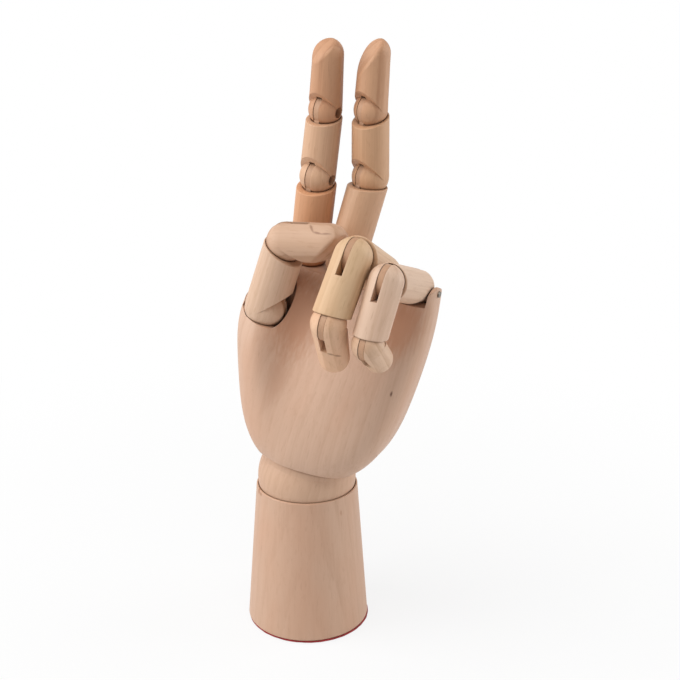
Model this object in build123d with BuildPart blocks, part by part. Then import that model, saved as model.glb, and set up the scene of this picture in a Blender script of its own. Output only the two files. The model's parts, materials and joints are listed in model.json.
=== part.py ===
"""Jointed wooden left hand on a turned forearm stand, as artists use for drawing.

Millimetres, +Z up. The origin is on the table, on the axis of the stand.
The palm faces -Y and the thumb is on the -X side. Every piece is modelled
where it sits in the drawn pose: index and middle finger up, thumb folded
across the palm, ring and little finger curled.
"""

import os
from math import radians, tan

from build123d import *

# Stand
felt_thickness = 1.0
felt_radius = 27.0
stand_foot_radius = 26.8
stand_rim_radius = 22.0
stand_height = 65.4
stand_edge_round = 0.6

# Wrist ball, its tie bolt and its spring
wrist_height = 69.0
ball_radius = 21.3
ball_zone_top = 6.0
barrel_radius = 20.4
barrel_top = 9.5
tenon_radius = 8.0
tenon_length = 14.0
cup_gap = 0.3
eye_pocket_radius = 7.5
eye_pocket_top = 7.2
eye_pocket_bottom = -2.0
cone_mouth_radius = 12.5
anchor_pin_radius = 1.5
anchor_pin_reach = 16.0
eye_ring_radius = 4.2
eye_wire_radius = 1.4
eye_drop = 1.0
bolt_radius = 1.6
bolt_bore_radius = 3.4
bolt_foot = 5.0
chamber_radius = 8.0
chamber_top = 34.0
nut_width = 6.0
nut_height = 2.6
nut_foot = 7.0
washer_radius = 7.0
washer_thickness = 1.2
spring_radius = 5.0
spring_wire_radius = 0.8
spring_turns = 6

# Pose of the palm on the wrist ball
palm_roll = 8.7
palm_lean = -8.2

# Hinges
pin_radius = 1.0
knuckle_rod_radius = 1.25
running_gap = 0.05
tongue_thickness = 2.4
tongue_gap = 0.15
disc_gap = 0.35
ball_gap = 0.25
tongue_tail = 5.0
tail_width_ratio = 0.8
rim_back_drop = 0.18
rim_palm_drop = 0.78
ledge_angle = 50.0
shoulder = 0.05
slot_back_rise = 1.35
slot_palm_rise = 0.80
counterbore_radius = 2.2
counterbore_depth = 2.8
pin_blind_wall = 1.6
pin_proud = 0.5
rim_edge_round = 0.4

# Soft edge of the finger pads and their turn towards the thumb
pad_edge_round = 1.6
finger_pad_twist = -25.0

# Knuckles
knuckle_height = 95.8
knuckle_palm_drop = 5.95
knuckle_back_drop = 2.8
rod_cover = 6.2
ear_share = 0.5
ear_radius = 7.0
ear_top = 2.4
ear_front = 1.0
shaft_room = 0.9
rod_reach = 3.5

# Fingers: place on the knuckle rod, sideways lean, twist, bends and lengths of
# the three segments from the root, radii of root ball and rim of each segment,
# side on which the pins are driven in, and three points of the tip's pad curve
# as shares of the rim radius towards the back and of the tip's length
fingers = {
    "index": dict(
        x=-20.8, lean=-1.8, twist=-4.0,
        bends=(7.2, -0.5, 6.0), lengths=(32.6, 27.9, 29.0),
        roots=(8.1, 7.5, 6.9), rims=(8.3, 7.4, 6.3), pin_side=1,
        pad=((-1.10, 0.50), (-0.50, 0.87), (0.50, 1.01)),
    ),
    "middle": dict(
        x=-3.2, lean=0.9, twist=-16.0,
        bends=(-7.9, 23.2, -5.6), lengths=(37.1, 28.2, 29.0),
        roots=(8.1, 7.7, 6.9), rims=(8.3, 7.6, 6.3), pin_side=-1,
        pad=((-1.15, 0.20), (-0.72, 0.66), (0.45, 1.01)),
    ),
    "ring": dict(
        x=14.0, lean=3.6, twist=3.5,
        bends=(69.7, 83.2, 63.5), lengths=(36.0, 27.9, 26.0),
        roots=(8.6, 7.7, 7.1), rims=(8.8, 7.6, 6.2), pin_side=-1,
        pad=((-1.12, 0.30), (-0.55, 0.72), (0.45, 1.01)),
    ),
    "little": dict(
        x=30.6, lean=2.5, twist=3.5,
        bends=(77.6, 84.9, 75.6), lengths=(34.3, 25.2, 21.2),
        roots=(7.3, 6.95, 6.4), rims=(7.4, 6.9, 5.8), pin_side=-1,
        pad=((-1.12, 0.30), (-0.55, 0.72), (0.45, 1.01)),
    ),
}
segment_names = ("proximal", "middle", "distal")

# Thumb: root in the palm, direction of its hinges, bend of its tip segment
thumb_root = (-26.0, -18.0, 71.7)
thumb_turn = 99.1
thumb_lean = 9.4
thumb_side_lean = -9.1
thumb_bend = 66.1
thumb_lengths = (31.3, 27.3)
thumb_roots = (8.9, 8.2)
thumb_rims = (8.8, 8.0)
thumb_pin_side = 1
thumb_rim_back_drop = 0.25
thumb_rim_palm_drop = 0.72
thumb_clearance = 1.1
thumb_pad_twist = -25.0
thumb_pad = ((-1.08, 0.38), (-0.28, 0.80), (0.78, 1.01))

# Palm outlines from the wrist to above the knuckle rod: share of the height,
# thumb side, little side, back, front at the thumb, beside it, in the middle
# and on the little side
palm_sections = (
    (0.0, -20.6, 22.2, 20.8, 21.6, 22.0, 22.2, 21.4),
    (0.049, -24.8, 26.6, 21.2, 23.2, 23.5, 23.6, 22.2),
    (0.157, -30.4, 32.4, 21.2, 25.0, 24.8, 24.0, 21.0),
    (0.33, -35.4, 36.9, 19.4, 26.8, 23.4, 21.4, 18.0),
    (0.503, -39.2, 39.4, 16.4, 27.6, 18.8, 17.4, 15.2),
    (0.676, -40.2, 41.0, 13.4, 23.4, 14.4, 13.4, 12.2),
    (0.827, -36.0, 41.3, 10.4, 11.5, 9.2, 8.8, 8.8),
    (1.0, -31.8, 40.2, 8.6, 7.6, 7.4, 7.4, 7.4),
)
valley_share = 0.36
mound_corner_share = 0.65
corner_share = 0.8
corner_inset = 0.293

table = Plane.XY
far = 80.0


def shifted(plane, x=0.0, y=0.0, z=0.0):
    """The same axes with the origin moved along them."""
    return plane.moved(Location((x, y, z)))


def turned(plane, x=0.0, y=0.0, z=0.0):
    """The plane turned about its own axes."""
    return plane.moved(Rotation(x, y, z))


def across(plane):
    """Sketch plane square to a hinge pin: across is back of the hand, up is along the finger."""
    return Plane(plane.origin, x_dir=plane.y_dir, z_dir=plane.x_dir)


def along(plane):
    """Sketch plane through a hinge pin: across is the pin, up is along the finger."""
    return Plane(plane.origin, x_dir=plane.x_dir, z_dir=-plane.y_dir)


def save(piece, name):
    """Label a finished piece and write it to its own file."""
    piece.part.label = name
    export_step(piece.part, f"parts/{name}.step")


def cut_prism(plane, corners, start, end):
    """Cut away a prism whose corners lie on the plane, from start to end along its normal."""
    with BuildSketch(plane.offset(start)) as waste:
        with BuildLine():
            Polyline(*corners, close=True)
        make_face()
    extrude(waste.sketch, amount=end - start, mode=Mode.SUBTRACT)


def cut_round(plane, radius, start, end):
    """Cut a round hole square to the plane, from start to end along its normal."""
    with BuildSketch(plane.offset(start)) as bore:
        Circle(radius)
    extrude(bore.sketch, amount=end - start, mode=Mode.SUBTRACT)


def slanted_rim(back_drop, palm_drop, reach_back, reach_palm, radius):
    """Corners of the waste above a rim that falls from the back to the palm side."""
    slope = (palm_drop - back_drop) / (2 * radius)
    middle = (palm_drop + back_drop) / 2
    return (
        (-reach_palm, -middle - slope * reach_palm),
        (reach_back, -middle + slope * reach_back),
        (reach_back, far),
        (-reach_palm, far),
    )


def cut_socket(hinge, ball):
    """Cup for a ball and mortise for the tongue in the piece below a hinge."""
    with Locations(hinge.origin):
        Sphere(ball + ball_gap, mode=Mode.SUBTRACT)
    half_width = tail_width_ratio * (ball - disc_gap)
    depth = ball + ball_gap + tongue_tail
    corners = ((-half_width, 0), (half_width, 0), (half_width, -depth), (-half_width, -depth))
    cut_prism(across(hinge), corners, -tongue_thickness / 2, tongue_thickness / 2)


def cut_fork(hinge, ball):
    """Slot for the tongue in the piece above a hinge."""
    slot = tongue_thickness / 2 + tongue_gap
    rise = (slot_back_rise - slot_palm_rise) / 2
    middle = (slot_back_rise + slot_palm_rise) / 2
    reach = 2 * ball
    corners = (
        (-reach, -reach),
        (reach, -reach),
        (reach, middle * ball + rise * reach),
        (-reach, middle * ball - rise * reach),
    )
    cut_prism(across(hinge), corners, -slot, slot)


def cut_pin_hole(hinge, ball, side):
    """Blind hole for a pin, with the counterbore in which the driven end shows."""
    blind = ball - pin_blind_wall
    cut_round(across(hinge), pin_radius, -blind, blind)
    if side > 0:
        cut_round(across(hinge), counterbore_radius, ball - counterbore_depth, far)
    else:
        cut_round(across(hinge), counterbore_radius, -far, -ball + counterbore_depth)


def cut_pad(body, rim, length, pad):
    """Palm side of a tip segment, falling in a curve to the tip, with soft edges."""
    start, middle, end = [(back * rim, up * length) for back, up in pad]
    with BuildSketch(across(body)) as waste:
        with BuildLine():
            ThreePointArc(start, middle, end)
            Polyline(end, (-2 * rim, end[1]), (-2 * rim, start[1]), start)
        make_face()
    extrude(waste.sketch, amount=2 * rim, both=True, mode=Mode.SUBTRACT)
    fillet(edges(Select.LAST), radius=pad_edge_round)


def turned_body(hinge, body, root, rim, length, pad=None, pad_twist=0.0):
    """Root ball, ledge on the palm side and turned shaft, with a round tip and a pad at the end."""
    with BuildSketch(along(body)) as profile:
        with BuildLine():
            Line((0, 0), (root + shoulder, 0))
            if pad:
                Line((root + shoulder, 0), (rim, length - rim))
                CenterArc((0, length - rim), rim, 0, 90)
            else:
                Polyline((root + shoulder, 0), (rim, length), (0, length))
            Line((0, length), (0, 0))
        make_face()
    revolve(profile.sketch, axis=Axis(body.origin, body.z_dir))
    if pad:
        cut_pad(turned(body, z=pad_twist), rim, length, pad)
    ledge = ((0, 0), (-far, far * tan(radians(ledge_angle))), (-far, -far), (0, -far))
    cut_prism(across(hinge), ledge, -far, far)
    with Locations(hinge.origin):
        Sphere(root)


def make_tongue(name, hinge, ball, hole_radius):
    """Flat wooden tongue, glued into the piece below and turning on the pin."""
    disc = ball - disc_gap
    half_width = tail_width_ratio * disc
    depth = ball + ball_gap + tongue_tail
    with BuildPart() as tongue:
        with BuildSketch(across(hinge)):
            Circle(disc)
            with Locations((0, -depth / 2)):
                Rectangle(2 * half_width, depth)
            Circle(hole_radius, mode=Mode.SUBTRACT)
        extrude(amount=tongue_thickness / 2, both=True)
    save(tongue, name)


def make_pin(name, hinge, ball, side):
    """Steel pin in the cheeks of a fork, its end showing in the counterbore."""
    blind = ball - pin_blind_wall
    shown = ball - counterbore_depth + pin_proud
    start, end = (-blind, shown) if side > 0 else (-shown, blind)
    with BuildPart() as pin:
        with BuildSketch(across(hinge).offset(start)):
            Circle(pin_radius)
        extrude(amount=end - start)
    save(pin, name)


os.makedirs("parts", exist_ok=True)

# Frames of the palm, the knuckle rod and every finger segment
palm_frame = turned(turned(shifted(table, z=wrist_height), y=palm_roll), x=palm_lean)
knuckles = shifted(palm_frame, z=knuckle_height)
rod_thumb_end = fingers["index"]["x"] - fingers["index"]["roots"][0] - rod_reach
rod_little_end = fingers["little"]["x"] + fingers["little"]["roots"][0] + rod_reach

# Forearm stand
with BuildPart() as forearm_base:
    with BuildSketch(Plane.XZ):
        with BuildLine():
            Polyline(
                (0, felt_thickness),
                (stand_foot_radius, felt_thickness),
                (stand_rim_radius, stand_height),
                (0, stand_height),
                close=True,
            )
        make_face()
    revolve(axis=Axis.Z)
    outer_edges = forearm_base.edges().filter_by(GeomType.CIRCLE)
    fillet(outer_edges, radius=stand_edge_round)
    with Locations((0, 0, wrist_height)):
        Sphere(ball_radius + cup_gap, mode=Mode.SUBTRACT)
    cut_round(table, chamber_radius, 0, chamber_top)
    cut_round(table, bolt_bore_radius, 0, wrist_height)
save(forearm_base, "forearm_base")

with BuildPart() as base_felt_pad:
    with BuildSketch(table):
        Circle(felt_radius)
    extrude(amount=felt_thickness)
save(base_felt_pad, "base_felt_pad")

# Tie bolt with its eye, nut, washer and spring in the chamber of the stand
with BuildPart() as wrist_eye_bolt:
    eye_height = wrist_height - eye_drop
    with BuildSketch(Plane.XY.offset(bolt_foot)):
        Circle(bolt_radius)
    extrude(amount=eye_height - eye_ring_radius - bolt_foot)
    with Locations(Location((0, 0, eye_height), (0, 90, 0))):
        Torus(eye_ring_radius, eye_wire_radius)
save(wrist_eye_bolt, "wrist_eye_bolt")

with BuildPart() as bolt_nut:
    with BuildSketch(table.offset(nut_foot)):
        RegularPolygon(nut_width / 2, 6, major_radius=False)
        Circle(bolt_radius, mode=Mode.SUBTRACT)
    extrude(amount=nut_height)
save(bolt_nut, "bolt_nut")

washer_foot = nut_foot + nut_height
spring_foot = washer_foot + washer_thickness
with BuildPart() as spring_washer:
    with BuildSketch(table.offset(washer_foot)):
        Circle(washer_radius)
        Circle(bolt_radius + running_gap, mode=Mode.SUBTRACT)
    extrude(amount=washer_thickness)
save(spring_washer, "spring_washer")

spring_rise = chamber_top - spring_foot - 2 * spring_wire_radius
spring_pitch = spring_rise / spring_turns
with BuildPart() as wrist_spring:
    with BuildLine():
        coil = Helix(
            pitch=spring_pitch,
            height=spring_rise,
            radius=spring_radius,
            center=(0, 0, spring_foot + spring_wire_radius),
        )
    with BuildSketch(Plane(coil @ 0, z_dir=coil % 0)):
        RegularPolygon(spring_wire_radius, 8)
    sweep()
save(wrist_spring, "wrist_spring")
print(f"spring: gap between turns {spring_pitch - 2 * spring_wire_radius:.2f} mm")

with BuildPart() as wrist_anchor_pin:
    with BuildSketch(across(palm_frame).offset(-anchor_pin_reach)):
        Circle(anchor_pin_radius)
    extrude(amount=2 * anchor_pin_reach)
save(wrist_anchor_pin, "wrist_anchor_pin")

# Wrist ball with its barrel and the tenon that is glued into the palm
with BuildPart() as wrist_ball:
    cone_mouth = -((ball_radius**2 - cone_mouth_radius**2) ** 0.5)
    zone_top_radius = (ball_radius**2 - ball_zone_top**2) ** 0.5
    with BuildSketch(along(palm_frame)):
        with BuildLine():
            ThreePointArc((cone_mouth_radius, cone_mouth), (ball_radius, 0), (zone_top_radius, ball_zone_top))
            Polyline(
                (zone_top_radius, ball_zone_top),
                (barrel_radius, barrel_top),
                (tenon_radius, barrel_top),
                (tenon_radius, barrel_top + tenon_length),
                (0, barrel_top + tenon_length),
                (0, eye_pocket_top),
                (eye_pocket_radius, eye_pocket_top),
                (eye_pocket_radius, eye_pocket_bottom),
                (cone_mouth_radius, cone_mouth),
            )
        make_face()
    revolve(axis=Axis(palm_frame.origin, palm_frame.z_dir))
    cut_round(across(palm_frame), anchor_pin_radius + running_gap, -far, anchor_pin_reach + running_gap)
save(wrist_ball, "wrist_ball")


def palm_outline(share, thumb, little, back, front_thumb, front_valley, front_middle, front_little):
    """Closed outline of the palm at one height: flat front and back, round sides."""
    corners = []
    rounds = (corner_share, mound_corner_share, corner_share, corner_share)
    depths = ((little, -front_little), (thumb, -front_thumb), (thumb, back), (little, back))
    for (side, depth), round_share in zip(depths, rounds):
        inward = -abs(depth) if side > 0 else abs(depth)
        near = (side + corner_inset * round_share * inward, depth * (1 - corner_inset * round_share))
        flat = (side + round_share * inward, depth)
        corners.append((near, flat))
    centre = (thumb + little) / 2
    points = [
        (little, 0),
        *corners[0],
        (centre, -front_middle),
        (thumb + valley_share * (little - thumb), -front_valley),
        *reversed(corners[1]),
        (thumb, 0),
        *corners[2],
        (centre, back),
        *reversed(corners[3]),
    ]
    height = barrel_top + share * (knuckle_height + rod_cover - barrel_top)
    with BuildSketch(palm_frame.offset(height)) as outline:
        with BuildLine():
            Spline(*points, periodic=True)
        make_face()
    return outline.sketch


# Frames of the thumb and the cut that gives it room in the palm
thumb_frame = turned(shifted(palm_frame, *thumb_root), z=thumb_turn)
thumb_frame = turned(turned(thumb_frame, x=thumb_lean), y=thumb_side_lean)
thumb_tip_frame = turned(shifted(thumb_frame, z=thumb_lengths[0]), x=thumb_bend)
thumb_room = thumb_roots[0] + thumb_clearance

with BuildPart() as palm:
    loft([palm_outline(*section) for section in palm_sections])
    # Slanting top between the two ears, with one ear left round each rod end
    ear_thumb_inside = fingers["index"]["x"] - ear_share * fingers["index"]["roots"][0]
    ear_little_inside = fingers["little"]["x"] + ear_share * fingers["little"]["roots"][0]
    root_radius = fingers["middle"]["roots"][0]
    knuckle_top = slanted_rim(knuckle_back_drop, knuckle_palm_drop, far, far, root_radius)
    cut_prism(across(knuckles), knuckle_top, ear_thumb_inside, ear_little_inside)
    for start, end in ((-far, ear_thumb_inside), (ear_little_inside, far)):
        with BuildSketch(across(knuckles).offset(start)):
            with BuildLine():
                Polyline(*knuckle_top, close=True)
            make_face()
            with Locations((0, ear_top - ear_radius)):
                Circle(ear_radius, mode=Mode.SUBTRACT)
        extrude(amount=end - start, mode=Mode.SUBTRACT)
    # Room in the ears for the shafts of the outer fingers, folded and upright
    folded_room = slanted_rim(knuckle_back_drop, knuckle_palm_drop, ear_front, far, root_radius)
    for finger in (fingers["index"], fingers["little"]):
        knuckle = shifted(knuckles, x=finger["x"])
        shaft_reach = finger["roots"][0] + shaft_room
        cut_prism(across(knuckle), folded_room, -shaft_reach, shaft_reach)
        cut_round(knuckle, shaft_reach, 0, far)
    for finger in fingers.values():
        cut_socket(shifted(knuckles, x=finger["x"]), finger["roots"][0])
    cut_round(across(knuckles), knuckle_rod_radius, rod_thumb_end, far)
    # Room for the thumb above its socket
    drops = (thumb_rim_back_drop * thumb_roots[0], thumb_rim_palm_drop * thumb_roots[0])
    thumb_side = across(thumb_frame)
    cut_prism(thumb_side, slanted_rim(*drops, far, 0, thumb_roots[0]), -far, thumb_room)
    cut_round(thumb_frame, thumb_room, -sum(drops) / 2, far)
    cut_socket(thumb_frame, thumb_roots[0])
    cut_round(palm_frame, tenon_radius, 0, barrel_top + tenon_length)
save(palm, "palm")

with BuildPart() as knuckle_rod:
    with BuildSketch(across(knuckles).offset(rod_thumb_end)):
        Circle(knuckle_rod_radius)
    extrude(amount=rod_little_end - rod_thumb_end)
save(knuckle_rod, "knuckle_rod")

# Fingers
for name, finger in fingers.items():
    knuckle = shifted(knuckles, x=finger["x"])
    make_tongue(f"{name}_root_tongue", knuckle, finger["roots"][0], knuckle_rod_radius)
    below = knuckle
    for number, segment in enumerate(segment_names):
        hinge = turned(below, x=finger["bends"][number])
        body = hinge
        if number == 0:
            body = turned(turned(hinge, y=finger["lean"]), z=finger["twist"])
        length = finger["lengths"][number]
        root = finger["roots"][number]
        rim = finger["rims"][number]
        last = number == len(segment_names) - 1
        above = shifted(body, z=length)
        with BuildPart() as phalanx:
            if last:
                turned_body(hinge, body, root, rim, length, finger["pad"], finger_pad_twist)
            else:
                next_root = finger["roots"][number + 1]
                turned_body(hinge, body, root, rim, length)
                rim_drops = (rim_back_drop * rim, rim_palm_drop * rim)
                cut_prism(across(above), slanted_rim(*rim_drops, far, far, rim), -far, far)
                fillet(edges(Select.LAST), radius=rim_edge_round)
                cut_socket(above, next_root)
            cut_fork(hinge, root)
            if number == 0:
                cut_round(across(hinge), knuckle_rod_radius + running_gap, -far, far)
            else:
                cut_pin_hole(hinge, root, finger["pin_side"])
        save(phalanx, f"{name}_{segment}")
        if number > 0:
            make_pin(f"{name}_{segment}_pin", hinge, root, finger["pin_side"])
        if not last:
            make_tongue(f"{name}_{segment}_tongue", above, next_root, pin_radius + running_gap)
        below = above

# Thumb
with BuildPart() as thumb_proximal:
    turned_body(thumb_frame, thumb_frame, thumb_roots[0], thumb_rims[0], thumb_lengths[0])
    thumb_top = shifted(thumb_frame, z=thumb_lengths[0])
    rim_drops = (rim_back_drop * thumb_rims[0], rim_palm_drop * thumb_rims[0])
    cut_prism(across(thumb_top), slanted_rim(*rim_drops, far, far, thumb_rims[0]), -far, far)
    fillet(edges(Select.LAST), radius=rim_edge_round)
    cut_socket(thumb_top, thumb_roots[1])
    cut_fork(thumb_frame, thumb_roots[0])
    cut_pin_hole(thumb_frame, thumb_roots[0], thumb_pin_side)
save(thumb_proximal, "thumb_proximal")

with BuildPart() as thumb_distal:
    tip_sizes = (thumb_roots[1], thumb_rims[1], thumb_lengths[1])
    turned_body(thumb_tip_frame, thumb_tip_frame, *tip_sizes, thumb_pad, thumb_pad_twist)
    cut_fork(thumb_tip_frame, thumb_roots[1])
    cut_pin_hole(thumb_tip_frame, thumb_roots[1], thumb_pin_side)
save(thumb_distal, "thumb_distal")

make_tongue("thumb_root_tongue", thumb_frame, thumb_roots[0], pin_radius + running_gap)
make_tongue("thumb_proximal_tongue", thumb_top, thumb_roots[1], pin_radius + running_gap)
make_pin("thumb_proximal_pin", thumb_frame, thumb_roots[0], thumb_pin_side)
make_pin("thumb_distal_pin", thumb_tip_frame, thumb_roots[1], thumb_pin_side)
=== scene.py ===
"""Looks of the jointed wooden hand: wood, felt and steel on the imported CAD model.

Metres, in the frame of the CAD model. The grain of every wooden piece runs
along its own axis, which is read from the joints of the record.
"""

import json
import math

import bmesh
import bpy
from mathutils import Matrix, Vector, noise


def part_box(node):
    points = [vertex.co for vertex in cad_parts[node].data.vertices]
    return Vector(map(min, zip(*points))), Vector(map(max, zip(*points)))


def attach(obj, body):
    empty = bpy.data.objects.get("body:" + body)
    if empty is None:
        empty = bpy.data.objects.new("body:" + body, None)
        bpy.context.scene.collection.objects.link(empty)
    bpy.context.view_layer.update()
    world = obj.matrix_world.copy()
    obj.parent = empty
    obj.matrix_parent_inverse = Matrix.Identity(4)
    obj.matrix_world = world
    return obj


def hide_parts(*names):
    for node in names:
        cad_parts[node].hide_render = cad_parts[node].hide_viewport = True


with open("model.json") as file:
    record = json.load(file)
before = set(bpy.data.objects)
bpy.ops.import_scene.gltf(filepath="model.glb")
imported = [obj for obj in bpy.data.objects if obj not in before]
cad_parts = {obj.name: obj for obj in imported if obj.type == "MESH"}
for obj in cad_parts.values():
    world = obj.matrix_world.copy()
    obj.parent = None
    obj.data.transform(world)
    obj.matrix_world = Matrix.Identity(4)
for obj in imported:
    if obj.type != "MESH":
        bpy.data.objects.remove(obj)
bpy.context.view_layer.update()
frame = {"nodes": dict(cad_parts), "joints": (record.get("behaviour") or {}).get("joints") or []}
nodes = frame["nodes"]
scene = bpy.context.scene

# Camera, fitted to the foot and rim circles of the stand in the photograph
CAMERA_PLACE = Vector((0.2661, -0.4266, 0.3169))
CAMERA_AIM = Vector((-0.4734, 0.8098, -0.3466))
FOCAL_PIXELS = 1275
FRAME_PIXELS = 680

# Wood colours as they look in plain light, 0 to 255, for a limb from its root to its tip
STAND_WOOD = (200, 164, 139)
WRIST_WOOD = (201, 164, 137)
PALM_WOOD = (202, 167, 143)
# The tongues' wood is darker than the rest as painted shade, since they sit deep in their sockets
SHADED_TONGUE_WOOD = (186, 146, 116)
LIMB_WOODS = {
    "index": ((207, 154, 115), (203, 162, 130), (190, 143, 109)),
    "middle": ((199, 159, 127), (201, 158, 122), (191, 145, 111)),
    "ring": ((208, 174, 141), (207, 173, 136), (218, 177, 144)),
    "little": ((212, 181, 156), (211, 180, 156), (210, 175, 146)),
    "thumb": ((207, 174, 148), (195, 159, 132)),
}
FELT_RED = (160, 50, 50)
STEEL_GREY = (122, 116, 108)

SMOOTH_ANGLE = math.radians(28)

# Detail of the wood, in waves per metre: twice across the grain, then along it
FIBRES = (1500, 1500, 34)
STREAKS = (420, 420, 8)
CLOUDS = (46, 46, 17)
PORES = (2100, 2100, 150)
FLECKS = (800, 800, 210)
EDGE_BREAKS = (420, 420, 420)
BLOT_RIPPLES = (900, 900, 60)

# Turn in radians and steps in metres from one piece's grain to the next, so that no two look alike
GRAIN_TURN = 2.4
GRAIN_STEP = (0.13, 0.29, 0.71)
RING_STEP = 0.37

# Reach of worn edges and of painted shade in inner corners, and depth of the grain, in metres
EDGE_RADIUS = 0.00035
CORNER_REACH = 0.0025
GRAIN_DEPTH = 0.00012

# Tints of marks and of painted shade on the wood, as shares of its colour
DARK_PORE = (0.7, 0.6, 0.52)
FLECK = (0.92, 0.88, 0.84)
END_GRAIN = (0.9, 0.83, 0.76)
# Painted shade, laid where ambient occlusion finds inner corners and gaps
CORNER_SHADE = (0.5, 0.41, 0.35)
# Tint of painted shade, under the palm's edge and on the tongues' tails
PAINTED_SHADE = (0.56, 0.46, 0.38)
CHIP = (0.8, 0.66, 0.54)
# Painted shade on the palm's slope beside the thumb
SLOPE_SHADE = (0.95, 0.90, 0.87)
PORE_HOLE = (0.5, 0.4, 0.34)
# Painted shadow in the palm's hollows under the thumb and fingers
HOLLOW_SHADOW = (0.92, 0.82, 0.75)

# Hairline splits: half length as a share of the run, half width in metres, tint and strength
SPLIT_REACH = 0.75
SPLIT_WIDTH = 0.0008
SPLIT_TINT = (0.62, 0.5, 0.42)
SPLIT_STRENGTH = 0.65


def linear(colour):
    """Scene colour for a colour given from 0 to 255."""
    out = []
    for value in colour:
        share = value / 255
        out.append(share / 12.92 if share <= 0.04045 else ((share + 0.055) / 1.055) ** 2.4)
    return (*out, 1.0)


def scaled(colour, red, green, blue):
    """The colour with each channel multiplied."""
    return tuple(min(255, c * f) for c, f in zip(colour, (red, green, blue)))


def grey(value):
    """A neutral scene colour."""
    return (value, value, value, 1)


class Surface:
    """A material's node tree, with short calls for adding and joining nodes."""

    def __init__(self, name):
        self.material = bpy.data.materials.new(name)
        self.material.use_nodes = True
        self.tree = self.material.node_tree
        self.shader = self.tree.nodes["Principled BSDF"]

    def add(self, kind, inputs=None, **settings):
        """A new node: settings are its own, inputs are values or sockets by name."""
        node = self.tree.nodes.new("ShaderNode" + kind)
        for key, value in settings.items():
            setattr(node, key, value)
        for key, value in (inputs or {}).items():
            self.put(node.inputs[key], value)
        return node

    def put(self, socket, value):
        """Join a socket to an output, or set its value."""
        if isinstance(value, bpy.types.NodeSocket):
            self.tree.links.new(value, socket)
        else:
            socket.default_value = value

    def math(self, operation, first, second=0.0, third=0.0):
        """Output of a Math node."""
        return self.add("Math", {0: first, 1: second, 2: third}, operation=operation).outputs[0]

    def mix(self, share, first, second):
        """Output of a colour Mix node."""
        node = self.add("Mix", data_type="RGBA")
        self.put(node.inputs[0], share)
        self.put(node.inputs[6], first)
        self.put(node.inputs[7], second)
        return node.outputs[2]

    def tint(self, base, share, strength, colour):
        """The base with a colour laid over it, by a share times a strength."""
        return self.mix(self.math("MULTIPLY", share, strength), base, linear(colour))

    def ramp(self, share, stops):
        """Output of a Color Ramp with stops of place and colour."""
        node = self.add("ValToRGB", {"Fac": share})
        elements = node.color_ramp.elements
        while len(elements) < len(stops):
            elements.new(0.5)
        for element, (place, colour) in zip(elements, stops):
            element.position = place
            element.color = colour
        return node.outputs["Color"]

    def steps(self, share, low, high):
        """Share mapped from low..high to 0..1, with soft ends."""
        node = self.add("MapRange", {"Value": share, "From Min": low, "From Max": high})
        node.interpolation_type = "SMOOTHSTEP"
        return node.outputs["Result"]

    def noise(self, coords, scale, detail=2.0, rough=0.5, warp=0.0):
        """Value of a Noise texture with its own scale per axis."""
        stretched = self.add("Mapping", {"Vector": coords, "Scale": scale})
        inputs = {
            "Vector": stretched.outputs[0],
            "Scale": 1.0,
            "Detail": detail,
            "Roughness": rough,
            "Distortion": warp,
        }
        return self.add("TexNoise", inputs).outputs["Fac"]


def grain_coords(surface, origin, axis, seed):
    """Coordinates in metres from a point of the piece, with Z along its grain."""
    turn = axis.rotation_difference(Vector((0, 0, 1))).to_matrix()
    turn = Matrix.Rotation(seed * GRAIN_TURN, 3, "Z") @ turn
    shift = -(turn @ origin)
    coords = surface.add("TexCoord")
    mapping = surface.add("Mapping", {"Vector": coords.outputs["Object"]})
    mapping.inputs["Rotation"].default_value = turn.to_euler()
    mapping.inputs["Location"].default_value = shift
    return mapping.outputs[0]


def seeded(surface, coords, seed):
    """The coordinates moved along the grain, so that no two pieces look alike."""
    moved = surface.add("Mapping", {"Vector": coords})
    moved.inputs["Location"].default_value = tuple(step * seed for step in GRAIN_STEP)
    return moved.outputs[0]


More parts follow.
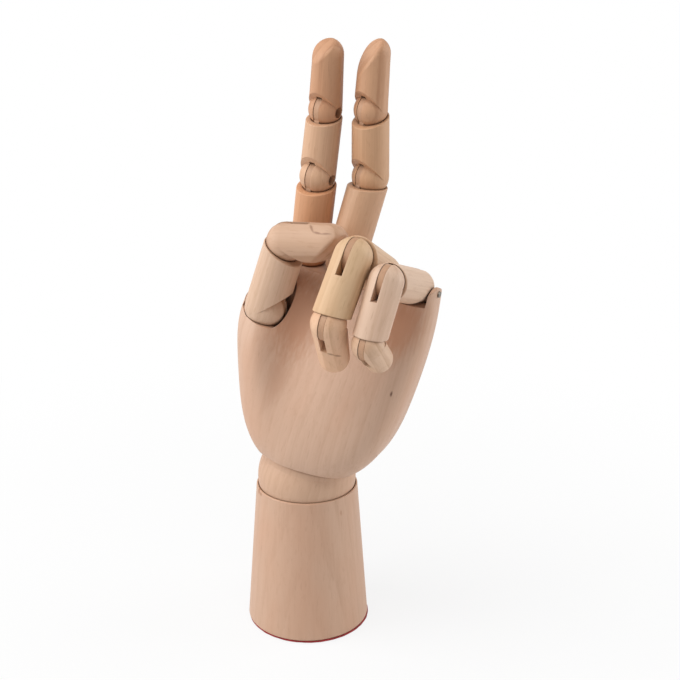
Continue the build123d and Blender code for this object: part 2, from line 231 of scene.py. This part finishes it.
def wood(
    name,
    colour,
    origin,
    axis,
    seed,
    ring_gap=0.0034,
    pith=(0.034, 0.018),
    figure=1.0,
    grain=1.0,
    marks=(),
):
    """Bare sanded wood: growth rings, fibres, tone, end grain, worn edges and painted shade in the corners.

    ring_gap is the width of a growth ring and pith where the rings' centre lies, in metres.
    figure and grain say how strongly the rings and the fibres show, and marks paint local colour.
    """
    surface = Surface(name)
    coords = grain_coords(surface, origin, axis, seed)
    loose = seeded(surface, coords, seed)

    # Growth rings about the pith, drawn out along the grain
    ring_place = surface.add("Mapping", {"Vector": coords, "Scale": (1, 1, 0.1)})
    ring_place.inputs["Location"].default_value = (*pith, RING_STEP * seed)
    rings = surface.add(
        "TexWave",
        {
            "Vector": ring_place.outputs[0],
            "Scale": 2 * math.pi / 20 / ring_gap,
            "Distortion": 5.0,
            "Detail": 2.0,
            "Detail Scale": 0.7,
            "Detail Roughness": 0.45,
        },
        wave_type="RINGS",
        rings_direction="Z",
        wave_profile="SAW",
    ).outputs["Fac"]
    ring_stops = ((0.0, 0.62), (0.55, 0.5), (0.9, 0.3), (1.0, 0.62))
    late = surface.ramp(rings, [(place, grey(value)) for place, value in ring_stops])

    fibres = surface.noise(loose, FIBRES, detail=3.0, rough=0.6)
    streaks = surface.noise(loose, STREAKS, detail=3.0, rough=0.6)
    clouds = surface.noise(loose, CLOUDS)

    tone = surface.math("MULTIPLY_ADD", late, 0.34 * figure, 0.5 - 0.17 * figure)
    tone = surface.math("MULTIPLY_ADD", fibres, 0.3 * grain, tone)
    tone = surface.math("MULTIPLY_ADD", streaks, 0.44 * grain, tone)
    tone = surface.math("ADD", tone, -0.37 * grain)
    base = surface.ramp(
        tone,
        (
            (0.18, linear(scaled(colour, 0.88, 0.83, 0.78))),
            (0.5, linear(colour)),
            (0.82, linear(scaled(colour, 1.055, 1.075, 1.095))),
        ),
    )
    pink = linear(scaled(colour, 1.0, 0.945, 0.91))
    base = surface.mix(surface.steps(clouds, 0.42, 0.72), base, surface.mix(0.55, base, pink))

    # Short dark pores along the grain, and broader flecks
    pores = surface.steps(surface.noise(loose, PORES, detail=0.0), 0.735, 0.80)
    base = surface.tint(base, pores, 0.2 * grain, scaled(colour, *DARK_PORE))
    flecks = surface.steps(surface.noise(loose, FLECKS, detail=1.0), 0.6, 0.72)
    base = surface.tint(base, flecks, 0.3 * grain, scaled(colour, *FLECK))

    # End grain drinks more and looks darker
    normal = surface.add("NewGeometry").outputs["Normal"]
    local = surface.add("VectorTransform", {0: normal}, vector_type="NORMAL")
    local.convert_from, local.convert_to = "WORLD", "OBJECT"
    ends = surface.add("VectorMath", {0: local.outputs[0], 1: axis}, operation="DOT_PRODUCT")
    ends = surface.steps(surface.math("ABSOLUTE", ends.outputs["Value"]), 0.45, 0.95)
    base = surface.tint(base, ends, 0.34, scaled(colour, *END_GRAIN))

    for mark in marks:
        base = mark(surface, base, colour)

    # Edges rubbed pale and slightly rounded, and painted shade darkening the inner corners
    bevel = surface.add("Bevel", {"Radius": EDGE_RADIUS}, samples=6)
    edge = surface.add("VectorMath", {0: bevel.outputs[0], 1: normal}, operation="DOT_PRODUCT")
    edge = surface.steps(edge.outputs["Value"], 0.985, 0.86)
    broken = surface.steps(surface.noise(loose, EDGE_BREAKS, detail=3.0), 0.3, 0.62)
    base = surface.tint(base, surface.math("MULTIPLY", edge, broken), 0.4, scaled(colour, 1.07, 1.08, 1.09))
    corner_shade_mask = surface.add("AmbientOcclusion", {"Distance": CORNER_REACH}, samples=8)
    corner_shade_mask = surface.steps(corner_shade_mask.outputs["AO"], 0.7, 0.12)
    base = surface.tint(base, corner_shade_mask, 0.75, scaled(colour, *CORNER_SHADE))

    rough = surface.math("MULTIPLY_ADD", fibres, 0.16, 0.44)
    rough = surface.math("MULTIPLY_ADD", ends, 0.08, rough)
    height = surface.math("MULTIPLY_ADD", late, 0.35, fibres)
    height = surface.math("MULTIPLY_ADD", pores, -0.8, height)
    bump = surface.add("Bump", {"Strength": 0.22, "Distance": GRAIN_DEPTH, "Height": height})
    surface.put(bump.inputs["Normal"], bevel.outputs[0])
    surface.put(surface.shader.inputs["Base Color"], base)
    surface.put(surface.shader.inputs["Roughness"], rough)
    surface.put(surface.shader.inputs["Normal"], bump.outputs[0])
    surface.shader.inputs["Specular IOR Level"].default_value = 0.42
    return surface.material


def blot(centre, axis, length, width, tint, strength):
    """A local stain, pore or streak: an ellipsoid of colour about a point of the piece.

    length and width are its half sizes along and across the axis, in metres.
    """

    def paint(surface, base, colour):
        turn = axis.rotation_difference(Vector((0, 0, 1))).to_matrix()
        coords = surface.add("TexCoord")
        place = surface.add("Mapping", {"Vector": coords.outputs["Object"]})
        place.inputs["Rotation"].default_value = turn.to_euler()
        place.inputs["Location"].default_value = -(turn @ centre)
        size = surface.add("Mapping", {"Vector": place.outputs[0]})
        size.inputs["Scale"].default_value = (1 / width, 1 / width, 1 / length)
        ripple = surface.noise(place.outputs[0], BLOT_RIPPLES)
        reach = surface.add("VectorMath", {0: size.outputs[0]}, operation="LENGTH").outputs["Value"]
        reach = surface.math("MULTIPLY_ADD", ripple, 0.7, surface.math("ADD", reach, -0.35))
        return surface.tint(base, surface.steps(reach, 1.0, 0.25), strength, scaled(colour, *tint))

    return paint


def splits(points):
    """Hairline splits of the wood, from point to point on its surface."""
    lines = []
    for start, end in zip(points, points[1:]):
        run = end - start
        size = (run.length * SPLIT_REACH, SPLIT_WIDTH)
        lines.append(blot((start + end) / 2, run.normalized(), *size, SPLIT_TINT, SPLIT_STRENGTH))
    return tuple(lines)


def shade(origin, axis, clear, full, strength):
    """Painted shade along the axis of a piece: none at the clear height above the origin, full at the
    other.
    """

    def paint(surface, base, colour):
        coords = surface.add("TexCoord").outputs["Object"]
        away = surface.add("VectorMath", {0: coords, 1: origin}, operation="SUBTRACT").outputs[0]
        height = surface.add("VectorMath", {0: away, 1: axis}, operation="DOT_PRODUCT").outputs["Value"]
        return surface.tint(base, surface.steps(height, clear, full), strength, scaled(colour, *PAINTED_SHADE))

    return paint


def steel(name, seed):
    """Dull drawn steel with fine lines and a little tarnish."""
    surface = Surface(name)
    coords = surface.add("TexCoord").outputs["Object"]
    loose = seeded(surface, coords, seed)
    tarnish = surface.noise(loose, (260, 260, 260), detail=4.0, rough=0.6)
    lines = surface.noise(loose, (2600, 2600, 240), detail=2.0)
    base = surface.ramp(
        tarnish,
        (
            (0.3, linear(scaled(STEEL_GREY, 0.62, 0.56, 0.5))),
            (0.55, linear(STEEL_GREY)),
            (0.8, linear(scaled(STEEL_GREY, 1.2, 1.2, 1.2))),
        ),
    )
    surface.put(surface.shader.inputs["Base Color"], base)
    surface.put(surface.shader.inputs["Roughness"], surface.math("MULTIPLY_ADD", tarnish, 0.35, 0.22))
    bump = surface.add("Bump", {"Strength": 0.15, "Distance": 0.00005, "Height": lines})
    surface.put(surface.shader.inputs["Normal"], bump.outputs[0])
    surface.shader.inputs["Metallic"].default_value = 0.9
    return surface.material


def felt(name):
    """Pressed wool felt: matted fibres, patchy dye and a fuzzy sheen."""
    surface = Surface(name)
    coords = surface.add("TexCoord").outputs["Object"]
    hair = surface.noise(coords, (3400, 3400, 3400), detail=4.0, rough=0.7, warp=1.2)
    patches = surface.noise(coords, (190, 190, 190), detail=3.0)
    tone = surface.math("MULTIPLY_ADD", hair, 0.7, surface.math("MULTIPLY_ADD", patches, 0.5, -0.1))
    base = surface.ramp(
        tone,
        (
            (0.25, linear(scaled(FELT_RED, 0.66, 0.6, 0.62))),
            (0.5, linear(FELT_RED)),
            (0.8, linear(scaled(FELT_RED, 1.2, 1.35, 1.35))),
        ),
    )
    surface.put(surface.shader.inputs["Base Color"], base)
    surface.put(surface.shader.inputs["Roughness"], surface.math("MULTIPLY_ADD", hair, 0.1, 0.86))
    bump = surface.add("Bump", {"Strength": 0.6, "Distance": 0.0002, "Height": hair})
    surface.put(surface.shader.inputs["Normal"], bump.outputs[0])
    surface.shader.inputs["Specular IOR Level"].default_value = 0.2
    surface.shader.inputs["Sheen Weight"].default_value = 0.35
    surface.shader.inputs["Sheen Roughness"].default_value = 0.5
    return surface.material


def dress(node, material):
    """Give a CAD node its material, smooth faces and sharp edges."""
    mesh = nodes[node].data
    mesh.materials.clear()
    mesh.materials.append(material)
    mesh.shade_smooth()
    mesh.set_sharp_from_angle(angle=SMOOTH_ANGLE)


# Axes of the pieces, from joint to joint
joint_place = {joint["name"]: Vector(joint["pos_m"]) for joint in frame["joints"]}
wrist = joint_place["wrist_nod"]
knuckle_middle = (joint_place["middle_knuckle"] + joint_place["ring_knuckle"]) / 2
palm_axis = (knuckle_middle - wrist).normalized()
up = Vector((0, 0, 1))


def middle_of(node):
    """Centre of a node's box."""
    low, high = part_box(node)
    return (low + high) / 2


# Stand, wrist and palm, each with a number of its own for the place of its grain
stand_marks = (
    blot(Vector((-0.0138, -0.0172, 0.0645)), up, 0.0022, 0.0016, CHIP, 0.9),
    blot(Vector((-0.0119, -0.0186, 0.0641)), up, 0.0014, 0.0012, CHIP, 0.8),
    blot(Vector((0.0213, -0.0071, 0.0586)), up, 0.0018, 0.0008, CHIP, 0.4),
)
stand_look = dict(pith=(0.02, 0.06), figure=0.6, grain=0.6, marks=stand_marks)
dress("forearm_base", wood("wood_stand", STAND_WOOD, Vector((0, 0, 0)), up, 1.0, **stand_look))

# Painted contact shadow on the wrist under the palm, full from a height above the wrist's centre upwards
WRIST_COLLAR = 0.0095
COLLAR_FADE = 0.0016
collar_shadow = shade(wrist, palm_axis, WRIST_COLLAR - COLLAR_FADE, WRIST_COLLAR, 0.6)
wrist_look = dict(figure=0.6, grain=0.7, marks=(collar_shadow,))
dress("wrist_ball", wood("wood_wrist", WRIST_WOOD, wrist, palm_axis, 2.0, **wrist_look))

# Painted shade on the slope beside the thumb's mound, one open pore, and painted shadow in the hollows
# beside the thumb and under the little finger
palm_marks = (
    blot(Vector((-0.0043, -0.0160, 0.1180)), palm_axis, 0.020, 0.0060, SLOPE_SHADE, 0.7),
    blot(Vector((0.0431, -0.0042, 0.1172)), palm_axis, 0.0017, 0.0007, PORE_HOLE, 0.9),
    blot(Vector((0.0000, -0.0044, 0.1440)), palm_axis, 0.028, 0.017, HOLLOW_SHADOW, 0.85),
    blot(Vector((0.0440, 0.0020, 0.1450)), palm_axis, 0.020, 0.014, HOLLOW_SHADOW, 0.85),
)
palm_look = dict(ring_gap=0.0046, pith=(0.05, 0.09), figure=0.6, grain=0.65, marks=palm_marks)
dress("palm", wood("wood_palm", PALM_WOOD, wrist, palm_axis, 3.0, **palm_look))

# Fingers and thumb, each piece from its own blank, the tips cut close to the pith
FINGER_HINGES = (("knuckle", "proximal"), ("mid_hinge", "middle"), ("tip_hinge", "distal"))
THUMB_HINGES = (("base_hinge", "proximal"), ("tip_hinge", "distal"))
RING_SPLIT = (
    Vector((0.0315, -0.0351, 0.1429)),
    Vector((0.0335, -0.0332, 0.1419)),
    Vector((0.0349, -0.0304, 0.1408)),
)
THUMB_SPLIT = (
    Vector((0.0075, -0.0079, 0.1839)),
    Vector((0.0107, -0.0109, 0.1822)),
    Vector((0.0145, -0.0110, 0.1819)),
    Vector((0.0179, -0.0099, 0.1821)),
)
split_marks = {"ring_distal": splits(RING_SPLIT), "thumb_distal": splits(THUMB_SPLIT)}
near_pith = dict(figure=2.6, ring_gap=0.0048, pith=(0.004, 0.012))

# Painted shade on a tongue's tail, which sits deep in its socket: clear and full height, and strength
TAIL_SHADE = (-0.0042, -0.0062, 0.85)

seed = 4.0
for limb, woods in LIMB_WOODS.items():
    hinges = THUMB_HINGES if limb == "thumb" else FINGER_HINGES
    places = [joint_place[f"{limb}_{joint}"] for joint, segment in hinges]
    places.append(middle_of(f"{limb}_distal"))
    below = palm_axis
    carrier = "root"
    for number, (joint, segment) in enumerate(hinges):
        place = places[number]
        axis = (places[number + 1] - place).normalized()
        name = f"{limb}_{segment}"
        look = dict(near_pith) if segment == "distal" else {}
        look["marks"] = split_marks.get(name, ())
        dress(name, wood(f"wood_{name}", woods[number], place, axis, seed, **look))
        tongue = f"{limb}_{carrier}_tongue"
        # Painted shade on the tongue's tail, inside its socket
        look = dict(figure=0.7, marks=(shade(place, below, *TAIL_SHADE),))
        dress(tongue, wood(f"wood_{tongue}", SHADED_TONGUE_WOOD, place, below, seed + 0.5, **look))
        if joint != "knuckle":
            dress(f"{name}_pin", steel(f"steel_{name}", seed))
        below = axis
        carrier = segment
        seed += 1.0

# Steel pieces of the wrist and the knuckles
STEEL_NODES = (
    "knuckle_rod",
    "wrist_anchor_pin",
    "wrist_eye_bolt",
    "bolt_nut",
    "spring_washer",
    "wrist_spring",
)
for name in STEEL_NODES:
    dress(name, steel(f"steel_{name}", seed))
    seed += 1.0

# Felt pad under the stand: a pressed disc with a soft, slightly uneven edge, a little off centre
FELT_RADIUS = 0.0270
FELT_THICKNESS = 0.001
FELT_EDGE = 0.00035
FELT_WAVES = 9
FELT_FRAY = 900
FELT_STEPS = 160
FELT_SHIFT = Vector((0.00026, 0.00015, 0))
pad_mesh = bpy.data.meshes.new("felt_disc")
pad = bpy.data.objects.new("felt_disc", pad_mesh)
scene.collection.objects.link(pad)
build = bmesh.new()
# Profile from the middle of the underside to the middle of the top, in shares of radius and thickness
profile = (
    (0.0, 0.04),
    (0.5, 0.02),
    (0.93, 0.0),
    (0.985, 0.1),
    (1.0, 0.36),
    (1.0, 0.64),
    (0.985, 0.9),
    (0.93, 1.0),
    (0.5, 1.0),
    (0.0, 1.0),
)
rings = []
for share, rise in profile:
    height = FELT_THICKNESS * rise
    ring = []
    for step in range(FELT_STEPS):
        angle = 2 * math.pi * step / FELT_STEPS
        flat = Vector((math.cos(angle), math.sin(angle), 0))
        uneven = noise.noise(flat * FELT_WAVES + Vector((0, 0, height * FELT_FRAY)))
        radius = FELT_RADIUS * share - FELT_EDGE * share * (0.5 + 0.5 * uneven)
        place = flat * radius + FELT_SHIFT
        ring.append(build.verts.new((place.x, place.y, height)))
        if share == 0.0:
            break
    rings.append(ring)
for lower, upper in zip(rings, rings[1:]):
    for step in range(FELT_STEPS):
        after = (step + 1) % FELT_STEPS
        if len(lower) == 1:
            build.faces.new((lower[0], upper[after], upper[step]))
        elif len(upper) == 1:
            build.faces.new((lower[step], lower[after], upper[0]))
        else:
            build.faces.new((lower[step], lower[after], upper[after], upper[step]))
bmesh.ops.recalc_face_normals(build, faces=build.faces)
build.to_mesh(pad_mesh)
build.free()
pad_mesh.shade_smooth()
pad_mesh.materials.append(felt("red_felt_pressed"))
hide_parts("base_felt_pad")
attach(pad, "forearm")

# Floor, pale and white to the camera, with the soft shadow of the stand
FLOOR_HALF = 6.0
FLOOR_DROP = 0.00005
SHADOW_NEAR = 0.05
SHADOW_FAR = 0.35
GLOW_LEAST = 0.82
floor_mesh = bpy.data.meshes.new("floor")
floor_mesh.from_pydata(
    [(x * FLOOR_HALF, y * FLOOR_HALF, -FLOOR_DROP) for x, y in ((-1, -1), (1, -1), (1, 1), (-1, 1))],
    [],
    [(0, 1, 2, 3)],
)
floor = bpy.data.objects.new("floor", floor_mesh)
scene.collection.objects.link(floor)
paper = Surface("floor_paper")
paper.shader.inputs["Roughness"].default_value = 0.9
paper.shader.inputs["Base Color"].default_value = (0.8, 0.8, 0.8, 1)
paper.shader.inputs["Specular IOR Level"].default_value = 0.1
path = paper.add("LightPath")
seen = paper.math("MAXIMUM", path.outputs["Is Camera Ray"], path.outputs["Is Glossy Ray"])
seen = paper.math("MAXIMUM", seen, path.outputs["Is Transmission Ray"])
white = paper.add("Emission", {"Strength": 1.0})
spread = paper.add("VectorMath", {0: paper.add("TexCoord").outputs["Object"]}, operation="LENGTH")
outward = paper.steps(spread.outputs["Value"], SHADOW_NEAR, SHADOW_FAR)
glow = paper.math("MULTIPLY_ADD", outward, 1 - GLOW_LEAST, GLOW_LEAST)
shaded = paper.add("MixShader", {0: paper.math("MULTIPLY", seen, glow)})
paper.put(shaded.inputs[1], paper.shader.outputs[0])
paper.put(shaded.inputs[2], white.outputs[0])
paper.put(paper.tree.nodes["Material Output"].inputs["Surface"], shaded.outputs[0])
floor_mesh.materials.append(paper.material)

# Studio light: a white room, a large soft lamp on each side and one above
ROOM_LIGHT = 0.42
ROOM_SEEN = 1.0
world = bpy.data.worlds.new("studio")
scene.world = world
world.use_nodes = True
world_tree = world.node_tree
background = world_tree.nodes["Background"]
ray = world_tree.nodes.new("ShaderNodeLightPath")
first = world_tree.nodes.new("ShaderNodeMath")
first.operation = "MAXIMUM"
second = world_tree.nodes.new("ShaderNodeMath")
second.operation = "MAXIMUM"
level = world_tree.nodes.new("ShaderNodeMapRange")
level.inputs["To Min"].default_value = ROOM_LIGHT
level.inputs["To Max"].default_value = ROOM_SEEN
world_tree.links.new(ray.outputs["Is Camera Ray"], first.inputs[0])
world_tree.links.new(ray.outputs["Is Glossy Ray"], first.inputs[1])
world_tree.links.new(first.outputs[0], second.inputs[0])
world_tree.links.new(ray.outputs["Is Transmission Ray"], second.inputs[1])
world_tree.links.new(second.outputs[0], level.inputs["Value"])
world_tree.links.new(level.outputs["Result"], background.inputs["Strength"])
background.inputs["Color"].default_value = (1, 1, 1, 1)

LIGHT_TARGET = Vector((0, 0, 0.13))
sideways = Vector((CAMERA_AIM.y, -CAMERA_AIM.x, 0)).normalized()
forward = Vector((CAMERA_AIM.x, CAMERA_AIM.y, 0)).normalized()


def lamp(name, right, ahead, height, size, watts):
    """A square soft lamp, placed from the camera's view: right, ahead and up of the hand."""
    data = bpy.data.lights.new(name, "AREA")
    data.shape = "SQUARE"
    data.size = size
    data.energy = watts
    holder = bpy.data.objects.new(name, data)
    scene.collection.objects.link(holder)
    holder.location = LIGHT_TARGET + sideways * right + forward * ahead + Vector((0, 0, height))
    holder.rotation_mode = "QUATERNION"
    holder.rotation_quaternion = (LIGHT_TARGET - holder.location).to_track_quat("-Z", "Y")


lamp("lamp_left", right=-0.8, ahead=-0.1, height=0.4, size=0.7, watts=5.2)
lamp("lamp_right", right=0.85, ahead=0.1, height=0.2, size=0.6, watts=3.2)
lamp("lamp_top", right=-0.2, ahead=-0.25, height=0.9, size=0.6, watts=4.2)

# Camera
camera_data = bpy.data.cameras.new("camera")
camera_data.sensor_width = 36.0
camera_data.lens = camera_data.sensor_width * FOCAL_PIXELS / FRAME_PIXELS
camera_data.clip_start = 0.01
camera = bpy.data.objects.new("camera", camera_data)
scene.collection.objects.link(camera)
camera.location = CAMERA_PLACE
camera.rotation_mode = "QUATERNION"
camera.rotation_quaternion = CAMERA_AIM.to_track_quat("-Z", "Y")
scene.camera = camera
scene.view_settings.view_transform = "Standard"
